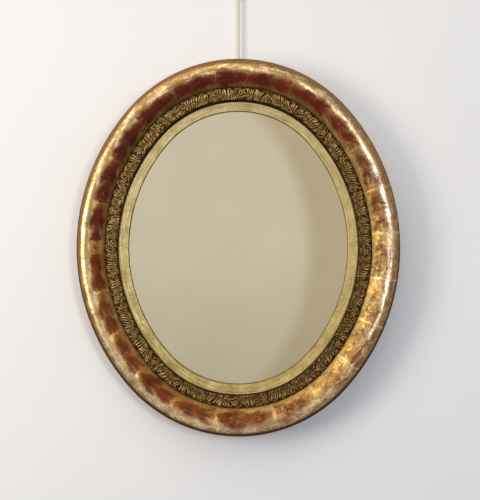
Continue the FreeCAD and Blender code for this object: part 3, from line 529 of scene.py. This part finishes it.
def oldMetal(name, clean, tarnish, roughness):
    # Small metal fittings with the dull patches of age.
    mat, add, bsdf = startMaterial(name)
    place = add("TexCoord").outputs["Object"]
    patch = add("TexNoise", {"Vector": place, "Scale": perMm(4), "Detail": 6, "Roughness": 0.7})
    colour = add("ValToRGB", {0: patch}, stops=[(0.4, clean), (0.72, tarnish)])
    rough = add("MapRange", {0: patch, 1: 0.3, 2: 0.75, 3: roughness, 4: roughness + 0.3})
    fill(bsdf, {"Base Color": colour, "Roughness": rough, "Metallic": 1.0})
    return mat


def cottonCord():
    # Braided cotton, undyed and handled: matt cream yarn with a soft fuzz.
    mat, add, bsdf = startMaterial("braidedCotton")
    place = add("TexCoord").outputs["Object"]
    yarn = add("TexNoise", {"Vector": place, "Scale": perMm(0.6), "Detail": 3})
    colour = add("ValToRGB", {0: yarn}, stops=[(0.3, "#C9BCA2"), (0.7, "#EFE7D6")])
    bump = add("Bump", {"Strength": 0.3, "Distance": 0.2 * mm, "Height": yarn})
    fill(bsdf, {"Base Color": colour, "Normal": bump, "Roughness": 0.85, "Sheen Weight": 0.25})
    return mat


gilding = gildedMoulding()
bronzed = gildedOrnament()
paleGold = gildedLiner()
silvered = silveredGlass()
frameWood = bareWood("agedLimewood", "#6E4A26", "#9C7443", True)
pineBoard = bareWood("agedPine", "#7C5830", "#B98F5A", False)
brass = oldMetal("agedBrass", "#B8924C", "#6A4E26", 0.3)
iron = oldMetal("rustyIron", "#4B443E", "#6B3D22", 0.5)
cotton = cottonCord()
print("materials made")


# Cord: straight between its knots, braided tubes that follow NURBS routes
cordSpec = {
    "diameter": 4.0, "plane": -5.75, "bottom": -139.0, "top": -33.5, "hold": 24.0,
    "carriers": 5, "braidPitch": 9.0, "braidDepth": 0.28, "ringStep": 0.5, "around": 30,
    "strand": 3.5, "knotWire": 3.5, "knotTurns": 1.5, "turnPoints": 12, "tuck": 0.4,
}


def routePoints(name, points, order=3):
    curve = bpy.data.curves.new(name, "CURVE")
    curve.dimensions = "3D"
    spline = curve.splines.new("NURBS")
    spline.points.add(len(points) - 1)
    for slot, point in zip(spline.points, points):
        slot.co = (*point, 1.0)
    spline.order_u = order
    spline.use_endpoint_u = True
    spline.resolution_u = 24
    holder = bpy.data.objects.new(name, curve)
    scene.collection.objects.link(holder)
    bpy.context.view_layer.update()
    mesh = bpy.data.meshes.new_from_object(holder.evaluated_get(bpy.context.evaluated_depsgraph_get()))
    line = np.array([v.co for v in mesh.vertices])
    bpy.data.objects.remove(holder)
    bpy.data.curves.remove(curve)
    bpy.data.meshes.remove(mesh)
    return line


def evenly(line, step):
    lengths = np.concatenate([[0], np.cumsum(np.linalg.norm(np.diff(line, axis=0), axis=1))])
    count = max(2, int(round(lengths[-1] / step)) + 1)
    at = np.linspace(0, lengths[-1], count)
    return np.stack([np.interp(at, lengths, line[:, k]) for k in range(3)], axis=1), at


def braidedTube(name, line, diameter):
    points, at = evenly(line, cordSpec["ringStep"] * mm)
    tangents = np.gradient(points, axis=0)
    tangents /= np.linalg.norm(tangents, axis=1)[:, None]
    side = np.cross(tangents[0], (0.0, 1.0, 0.0))
    if np.linalg.norm(side) < 0.2:
        side = np.cross(tangents[0], (1.0, 0.0, 0.0))
    count = cordSpec["around"]
    turn = np.linspace(0, 2 * math.pi, count, endpoint=False)
    verts = []
    for point, tangent, s in zip(points, tangents, at):
        side = side - tangent * np.dot(side, tangent)
        side /= np.linalg.norm(side)
        other = np.cross(tangent, side)
        lean = 2 * math.pi * s / (cordSpec["braidPitch"] * mm) * cordSpec["carriers"] / 2
        left = np.abs(np.cos((cordSpec["carriers"] * turn + lean) / 2))
        right = np.abs(np.cos((cordSpec["carriers"] * turn - lean) / 2))
        dip = 1 - np.maximum(left, right)
        radius = diameter / 2 * mm - cordSpec["braidDepth"] * mm * dip * 2
        spoke = np.cos(turn)[:, None] * side + np.sin(turn)[:, None] * other
        verts += list(point + radius[:, None] * spoke)
    rows = len(points)
    faces = []
    for r in range(rows - 1):
        for k in range(count):
            n = (k + 1) % count
            faces.append((r * count + k, r * count + n, (r + 1) * count + n, (r + 1) * count + k))
    faces += [tuple(range(count - 1, -1, -1)), tuple(range((rows - 1) * count, rows * count))]
    mesh = bpy.data.meshes.new(name)
    mesh.from_pydata([tuple(v) for v in verts], [], faces)
    mesh.polygons.foreach_set("use_smooth", [True] * len(faces))
    mesh.set_sharp_from_angle(angle=math.radians(50))
    piece = bpy.data.objects.new(name, mesh)
    scene.collection.objects.link(piece)
    mesh.materials.append(cotton)
    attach(piece, "suspension")
    return piece


cordY = cordSpec["plane"]
cordLow, cordHigh = cordSpec["bottom"], cordSpec["top"]
cordHeights = (cordLow, cordLow + cordSpec["hold"], cordHigh - cordSpec["hold"], cordHigh)
cordRoute = [Vector((0, cordY, z)) * mm for z in cordHeights]
cordLine = routePoints("cordRoute", cordRoute)
cordPiece = braidedTube("cordRun", cordLine, cordSpec["diameter"])
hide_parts("hanging_cord")


def knot(name, node):
    low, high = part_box(node)
    wire = cordSpec["knotWire"] * mm
    reach = (high.x - low.x) / 2 - wire / 2
    turns = cordSpec["knotTurns"]
    rise = high.z - low.z - wire
    steps = int(turns * cordSpec["turnPoints"]) + 1
    middle = (low + high) / 2
    tuck = wire * cordSpec["tuck"]
    route = [(middle.x, middle.y, low.z + tuck)]  # the ends go inside the turns
    for k in range(steps):
        share = k / (steps - 1)
        angle = 2 * math.pi * turns * share
        x, y = middle.x + reach * math.cos(angle), middle.y + reach * math.sin(angle)
        route.append((x, y, low.z + wire / 2 + rise * share))
    route.append((middle.x, middle.y, high.z - tuck))
    piece = braidedTube(name, routePoints(name + "Route", route), cordSpec["knotWire"])
    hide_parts(node)
    return piece


def loop(name, node, route):
    piece = braidedTube(name, routePoints(name + "Route", route), cordSpec["diameter"])
    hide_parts(node)
    return piece


ringKnot = knot("knotAtRing", "ring_knot")
hookKnot = knot("knotAtHook", "hook_knot")
strand = cordSpec["strand"]
ringTop = -147.5
ringRoute = [(0, cordY + y, z) for y, z in (
    (-strand, ringTop), (-strand, -151), (-strand, -154), (-strand * 0.95, -156.2), (-strand * 0.5, -157.2),
    (strand * 0.5, -157.2), (strand * 0.95, -156.2), (strand, -154), (strand, -151), (strand, ringTop))]
ringLoop = loop("loopAtRing", "ring_loop", [Vector(p) * mm for p in ringRoute])
hookRoute = [(x, cordY, z) for x, z in (
    (strand, -25), (strand + 0.2, -22.5), (6.6, -18), (7, -13), (7, -7), (6.9, -2), (4.6, 1.9), (0, 2.4),
    (-4.6, 1.9), (-6.9, -2), (-7, -7), (-7, -13), (-6.6, -18), (-strand - 0.2, -22.5), (-strand, -25))]
hookLoop = loop("loopAtHook", "hook_loop", [Vector(p) * mm for p in hookRoute])
print("cord made")


# Swept pieces of the frame
def fromTop(side, angle):
    # distance down from the top of the oval along the garland's middle, alike on both sides
    end, flank = endRadius - garland["middle"], sideRadius - garland["middle"]
    quarter = end * (math.pi / 2 - joint)
    if side == "top":
        return end * np.abs(angle - math.pi / 2)
    if side == "bottom":
        return garlandLength - end * np.abs(angle + math.pi / 2)
    if side == "right":
        return quarter + flank * (joint - angle)
    return quarter + flank * (angle - math.pi + joint)


def sweptPiece(name, side, steps, section, materials, zones, relief=None):
    # section: rows of (inset, depth) for each step, closed; zones: a material for each edge of it
    cx, cz, radius, middle, half = arcs[side]
    angles = np.linspace(middle - half, middle + half, steps + 1)
    insets, depths = section(angles)
    count = insets.shape[1]
    out = radius - insets
    x = cx + out * np.cos(angles)[:, None]
    z = cz + out * np.sin(angles)[:, None] + oval["centreZ"]
    verts = np.stack([x, -depths, z], axis=2).reshape(-1, 3) * mm
    faces, index = [], []
    for r in range(steps):
        for k in range(count):
            n = (k + 1) % count
            faces.append((r * count + k, (r + 1) * count + k, (r + 1) * count + n, r * count + n))
            index.append(zones[k])
    faces += [tuple(range(count)), tuple(range((steps + 1) * count - 1, steps * count - 1, -1))]
    index += [len(materials) - 1] * 2
    mesh = bpy.data.meshes.new(name)
    mesh.from_pydata([tuple(v) for v in verts], [], faces)
    for material in materials:
        mesh.materials.append(material)
    mesh.polygons.foreach_set("material_index", index)
    mesh.polygons.foreach_set("use_smooth", [True] * len(faces))
    lay = np.stack([np.repeat(fromTop(side, angles)[:, None], count, axis=1), insets, depths], axis=2) * mm
    mesh.attributes.new("lay", "FLOAT_VECTOR", "POINT").data.foreach_set(
        "vector", lay.astype(np.float32).ravel()
    )
    if relief is not None:
        values = relief(angles).astype(np.float32).ravel()
        mesh.attributes.new("relief", "FLOAT", "POINT").data.foreach_set("value", values)
    mesh.set_sharp_from_angle(angle=math.radians(40))
    mesh.update()
    piece = bpy.data.objects.new(name, mesh)
    scene.collection.objects.link(piece)
    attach(piece, "mirror")
    return piece


def arcPoints(centre, radius, start, stop, count):
    turns = np.radians(np.linspace(start, stop, count))
    return [(centre[0] + radius * math.cos(t), centre[1] + radius * math.sin(t)) for t in turns]


def mouldingSection():
    m = moulding
    run, drop = m["foot"] - m["crest"], m["crestDepth"] - m["footDepth"]
    inner = (run ** 2 + drop ** 2) / (2 * drop)
    last = math.degrees(math.asin(1 - drop / inner))
    points = [(m["bevel"], m["back"]), (m["ease"], m["rimBack"] - m["ease"] * 0.3),
              (0, m["rimBack"] + m["ease"])]
    zones = [1, 0, 0]
    outer = arcPoints((m["crest"], m["rimFront"]), m["crest"], 180, 90, m["crestPoints"])
    slope = arcPoints((m["crest"], m["crestDepth"] - inner), inner, 90, last, m["slopePoints"])[1:]
    points += outer + slope
    zones += [0] * (len(outer) + len(slope))
    points += [(m["foot"], m["seat"]), (m["lip"], m["seat"]), (m["lip"], m["lipBack"]),
               (m["rebate"], m["lipBack"]), (m["rebate"], m["back"])]
    zones += [2, 2, 1, 1, 1]
    front = (3, 3 + len(outer) + len(slope))
    return np.array(points), zones, front


def mouldingRows(side):
    points, zones, front = mouldingSection()

    def rows(angles):
        insets, depths = [np.repeat(points[None, :, k], len(angles), axis=0) for k in (0, 1)]
        cx, cz, radius = arcs[side][:3]
        for r, a in enumerate(angles):
            for k in range(front[0] + 3, front[1] - 1):
                out = radius - points[k, 0]
                at = Vector((cx + out * math.cos(a), points[k, 1], cz + out * math.sin(a)))
                for height, length in (moulding["waverLong"], moulding["waverShort"]):
                    depths[r, k] += height * noise.noise(at / length)
        return insets, depths

    return rows, zones


for side in sides:
    rows, zones = mouldingRows(side)
    finishes = [gilding, frameWood, bronzed, frameWood]
    piece = sweptPiece("moulding_" + side, side, moulding["steps"], rows, finishes, zones)
    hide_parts("frame_" + side)
print("moulding swept")


ornament = {
    "middle": 55.5, "half": 10.2, "seat": 36.0, "shoulder": 37.4, "bed": 38.8, "rise": 3.1, "pitch": 50.0,
    "lobes": 11, "lobePitch": 3.4, "sweep": 3.2, "lobeHalf": 1.4, "outerReach": 10.8, "innerReach": 6.6,
    "innerHeight": 0.92, "stem": 1.2, "stemAt": 2.2, "stemWave": 1.5, "stray": 1.3, "lump": 0.32,
    "petals": 5, "petalRing": 3.3, "petal": 2.0, "boss": 1.7, "flowerAt": -1.6,
    "seed": 7, "step": 0.5, "across": 44,
    # beside the flower: place, tilt, half length, half width and height
    "smallLeaves": ((-3.2, 6.6, 1, 3.6, 1.7, 0.7), (3.4, 7.2, -1, 3.0, 1.6, 0.65)),
}


def dome(distance):
    return np.sqrt(np.clip(1 - distance ** 2, 0, 1))


def ornamentHeight(s, v, period):
    # s along the strip and v across it, in mm, both straying a little as hand work does:
    # slanted ribs off a waving stem, then a flower and small leaves
    o = ornament
    s = s + o["stray"] * np.sin(s / 6.1 + 1.7 * np.sin(s / 23.0) + v / 5.0)
    v = v + 0.5 * o["stray"] * np.sin(s / 8.3 + 2.1 * np.sin(s / 31.0))
    a = np.mod(s, period)
    group = np.floor_divide(s, period).astype(int)
    w = v - o["stemAt"] - o["stemWave"] * np.sin(2 * math.pi * a / period)
    flowerAt = period - o["petalRing"] - o["petal"] - 0.8
    h = 0.6 * dome(w / o["stem"]) * (np.abs(a - flowerAt) > o["boss"])
    draw = np.random.default_rng(o["seed"])
    # place, length, lean and height of each rib
    uneven = draw.uniform(-1, 1, (group.max() + 2, o["lobes"], 4))
    for k in range(o["lobes"]):
        share = (k + 0.5) / o["lobes"]
        swell = 0.8 + 0.2 * math.sin(math.pi * (0.1 + 0.8 * share))
        place, longer, lean, high = np.moveaxis(uneven[group, k], -1, 0)
        for hand, reach, top in ((-1, o["outerReach"], 1.0), (1, o["innerReach"], o["innerHeight"])):
            t = (hand * w - 0.5) / (reach * swell * (1 + 0.12 * longer) - 0.5)
            inside = np.clip(t, 0, 1)
            slant = np.where(group % 2 == (hand < 0), o["sweep"], -0.7 * o["sweep"]) + 1.2 * lean
            centre = 2.0 + k * o["lobePitch"] + 0.7 * place + slant * inside ** 1.4
            half = o["lobeHalf"] * (0.55 + 0.5 * np.sin(math.pi * (0.1 + 0.75 * inside)))
            curl = 0.55 + 0.45 * np.sin(math.pi * (0.05 + 0.7 * inside))
            fade = np.clip((1.06 - t) / 0.2, 0, 1) ** 0.5 * np.clip((t + 0.1) / 0.15, 0, 1)
            h = np.maximum(h, top * (0.85 + 0.15 * high) * dome((a - centre) / half) * curl * fade)
    x, y = a - flowerAt, v - o["flowerAt"]
    for k in range(o["petals"]):
        turn = 2 * math.pi * (k + 0.25) / o["petals"]
        px, py = o["petalRing"] * math.cos(turn), o["petalRing"] * math.sin(turn)
        h = np.maximum(h, 0.85 * dome(np.hypot(x - px, y - py) / o["petal"]))
    h = np.maximum(h, dome(np.hypot(x, y) / o["boss"]))
    for hand in (1, -1):
        for atX, atY, tilt, longHalf, wideHalf, top in o["smallLeaves"]:
            dx, dy = x - atX, hand * y - atY
            lengthwise = dx * 0.5 + tilt * dy * 0.87
            crosswise = -tilt * dx * 0.87 + dy * 0.5
            h = np.maximum(h, top * dome(np.hypot(lengthwise / longHalf, crosswise / wideHalf)))
    lump = o["lump"] * (1 + np.sin(s / 2.3 + np.sin(v / 1.9)) * np.sin(v / 1.7 + np.sin(s / 3.1)))
    return np.maximum(h, lump)


def ornamentRows(side):
    o = ornament
    half = arcs[side][4]
    radius = arcs[side][2] - o["middle"]
    length = 2 * half * radius
    groups = max(1, round(length / o["pitch"]))
    v = np.linspace(-o["half"], o["half"], o["across"])
    edge = np.clip((o["half"] - np.abs(v)) / 2.0, 0, 1)
    bed = o["shoulder"] + (o["bed"] - o["shoulder"]) * np.sin(edge * math.pi / 2)
    fade = np.clip((o["half"] - np.abs(v)) / 0.9, 0, 1)

    def field(angles):
        s, acrossStrip = np.meshgrid((angles - angles[0]) * radius, v, indexing="ij")
        return ornamentHeight(s, acrossStrip, length / groups) * fade[None, :]

    def rows(angles):
        top = bed[None, :] + o["rise"] * field(angles)
        foot = np.full((len(angles), 1), o["seat"])
        depths = np.concatenate([foot, top, foot], axis=1)
        inset = o["middle"] + np.concatenate([[v[0]], v, [v[-1]]])
        return np.repeat(inset[None, :], len(angles), axis=0), depths

    def relief(angles):
        none = np.zeros((len(angles), 1))
        return np.concatenate([none, field(angles), none], axis=1)

    return rows, relief, int(round(length / o["step"]))


for side in sides:
    rows, relief, steps = ornamentRows(side)
    zones = [0] * (ornament["across"] + 2)
    piece = sweptPiece("leafStrip_" + side, side, steps, rows, [bronzed], zones, relief)
    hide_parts("ornament_" + side)
print("leaf strips pressed")


liner = {
    "steps": 120, "outer": 58.3, "glassBack": 19.0, "top": 30.0, "slope": 67.0, "sight": 82.5, "nose": 2.5,
    "noseTop": 27.0, "glassFront": 23.0, "rebate": 69.7, "slopePoints": 8, "nosePoints": 9,
}


def linerRows(angles):
    n = liner
    noseCentre = (n["sight"] - n["nose"], n["noseTop"] - n["nose"])
    wide, drop, count = noseCentre[0] - n["slope"], n["noseTop"] - n["top"], n["slopePoints"]
    points = [(n["outer"], n["glassBack"]), (n["outer"], n["top"])]
    points += [(n["slope"] + wide * k / count, n["top"] + drop * k / count) for k in range(count)]
    points += arcPoints(noseCentre, n["nose"], 90, 0, n["nosePoints"])
    points += [(n["sight"], n["glassFront"]), (n["rebate"], n["glassFront"]), (n["rebate"], n["glassBack"])]
    rows = np.repeat(np.array(points)[None], len(angles), axis=0)
    return rows[:, :, 0], rows[:, :, 1]


linerCount = linerRows(np.zeros(1))[0].shape[1]
linerZones = [1] + [0] * (linerCount - 5) + [0, 1, 1, 1]
for side in sides:
    piece = sweptPiece("slip_" + side, side, liner["steps"], linerRows, [paleGold, frameWood], linerZones)
    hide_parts("liner_" + side)
print("slip swept")


# CAD pieces that keep their shape
fittings = {
    "mirror_glass": (silvered, 0.0), "glass_blocks": (pineBoard, 0.8), "joint_tenons": (frameWood, 0.4),
    "back_board_centre": (pineBoard, 0.7), "back_board_left": (pineBoard, 0.7),
    "back_board_right": (pineBoard, 0.7), "board_nails": (iron, 0.3),
    "hanger_plate": (brass, 0.25), "hanger_screws": (brass, 0.25), "hanging_ring": (brass, 0.0),
}  # finish, and how far the edges are eased, in mm
for name, (material, ease) in fittings.items():
    kept = nodes[name]
    kept.data.materials.clear()
    kept.data.materials.append(material)
    if ease:
        soften = kept.modifiers.new("easedEdges", "BEVEL")
        soften.width = ease * mm
        soften.segments = 2
        soften.limit_method = "ANGLE"
        soften.angle_limit = math.radians(35)
print("back and fittings finished")


# Wall and floor, light and world
room = {"wallGap": 1.0 * mm, "wide": 3.2, "floor": -1.75, "top": 1.6, "deep": 3.2}  # in metres


def stageSheet(name, corners, material):
    mesh = bpy.data.meshes.new(name)
    mesh.from_pydata([tuple(c) for c in corners], [], [(0, 1, 2, 3)])
    mesh.materials.append(material)
    sheet = bpy.data.objects.new(name, mesh)
    scene.collection.objects.link(sheet)


def plaster(name, colour):
    # Painted plaster, rolled: plain and matt with a slight unevenness
    mat, add, bsdf = startMaterial(name)
    place = add("TexCoord").outputs["Object"]
    cloud = add("TexNoise", {"Vector": place, "Scale": perMm(250), "Detail": 4})
    tone = add("Mix", {0: cloud, 6: colour[0], 7: colour[1]}, data_type="RGBA")
    fill(bsdf, {"Base Color": tone, "Roughness": 0.9})
    # seen only from the room, and no hindrance to the light that reaches the back
    path = add("LightPath")
    behind = add("NewGeometry").outputs["Backfacing"]
    soft = add("Math MAXIMUM", {0: path.outputs["Is Shadow Ray"], 1: path.outputs["Is Diffuse Ray"]})
    gone = add("Math MAXIMUM", {0: behind, 1: soft})
    clear = add("BsdfTransparent")
    both = add("MixShader", {0: gone, 1: bsdf, 2: clear})
    fill(mat.node_tree.nodes["Material Output"], {"Surface": both})
    return mat


wide, deep, back, down, up = (room[name] for name in ("wide", "deep", "wallGap", "floor", "top"))
stageSheet("wall", [(-wide, back, down), (wide, back, down), (wide, back, up), (-wide, back, up)],
           plaster("paintedPlaster", ("#EEE9E2", "#F3EFE8")))
stageSheet("floor", [(-wide, -deep, down), (wide, -deep, down), (wide, deep, down), (-wide, deep, down)],
           plaster("paleFloor", ("#DFDBD4", "#E7E3DD")))

lamps = {  # place relative to the middle of the oval, size, watts, colour, spread and lean in degrees
    "leftWindow": ((-2.05, -1.5, 0.2), (0.9, 1.3), 9.6, "#FFF6EC", 95, 0),
    "skylight": ((-1.05, -1.7, 1.9), (3.4, 2.4), 39.5, "#FFF0DA", 180, 0),
    "rightLamp": ((0.86, -2.6, 0.24), (0.42, 0.9), 18.5, "#F6F7FC", 180, 22),
}
for name, (at, size, watts, colour, spread, lean) in lamps.items():
    light = bpy.data.lights.new(name, "AREA")
    light.shape = "RECTANGLE"
    light.size, light.size_y = size
    light.energy = watts
    light.spread = math.radians(spread)
    light.color = linear(colour)[:3]
    lamp = bpy.data.objects.new(name, light)
    lamp.location = Vector(at) + Vector((0, 0, oval["centreZ"] * mm))
    aim = (-Vector(at)).to_track_quat("-Z", "Y")
    lamp.rotation_euler = (aim @ Quaternion((0, 0, 1), math.radians(lean))).to_euler()
    scene.collection.objects.link(lamp)

world = bpy.data.worlds.new("studio")
scene.world = world
world.use_nodes = True
add = partial(addNode, world.node_tree)
facingX, facingY, facingZ = add("SeparateXYZ", {0: add("TexCoord").outputs["Generated"]}).outputs
level = add("MapRange", {0: facingZ, 1: -1.0, 2: 1.0})
roomTone = add("ValToRGB", {0: level}, stops=[(0.0, "#5E5448"), (0.5, "#C4BAA6"), (1.0, "#E6E0D4")])
card = add("MapRange", {0: facingY, 1: -0.9, 2: -0.97})  # pale card behind the camera
flat = add("CombineXYZ", {0: facingX, 1: facingZ})
fromRound = add("VectorMath DISTANCE", {0: flat, 1: (-0.12, 0.0, 0.0)}).outputs["Value"]
cardTone = add("MapRange", {0: fromRound, 1: 0.178, 2: 0.192})
cardShade = add("Mix", {0: cardTone, 6: "#D8CFB8", 7: "#C4B598"}, data_type="RGBA")
low = add("MapRange", {0: facingZ, 1: -0.13, 2: 0.0, 3: 0.5, 4: 0.0})
cardShade = add("Mix", {0: low, 6: cardShade, 7: "#A89C80"}, data_type="RGBA")
mirrored = add("Mix", {0: card, 6: roomTone, 7: cardShade}, data_type="RGBA")
skyTone = add("ValToRGB", {0: level}, stops=[(0.0, "#5C6876"), (0.5, "#6E8098"), (1.0, "#B4C5DC")])
fromWall = add("MapRange", {0: facingY, 1: 0.05, 2: 0.4})
skyTone = add("Mix", {0: fromWall, 6: skyTone, 7: "#E2DFD8"}, data_type="RGBA")
path = add("LightPath")
ambient = add("Mix", {0: path.outputs["Is Glossy Ray"], 6: skyTone, 7: mirrored}, data_type="RGBA")
shown = add("Mix", {0: path.outputs["Is Camera Ray"], 6: ambient, 7: "#E9E7E3"}, data_type="RGBA")
fill(world.node_tree.nodes["Background"], {"Color": shown})
print("stage lit")
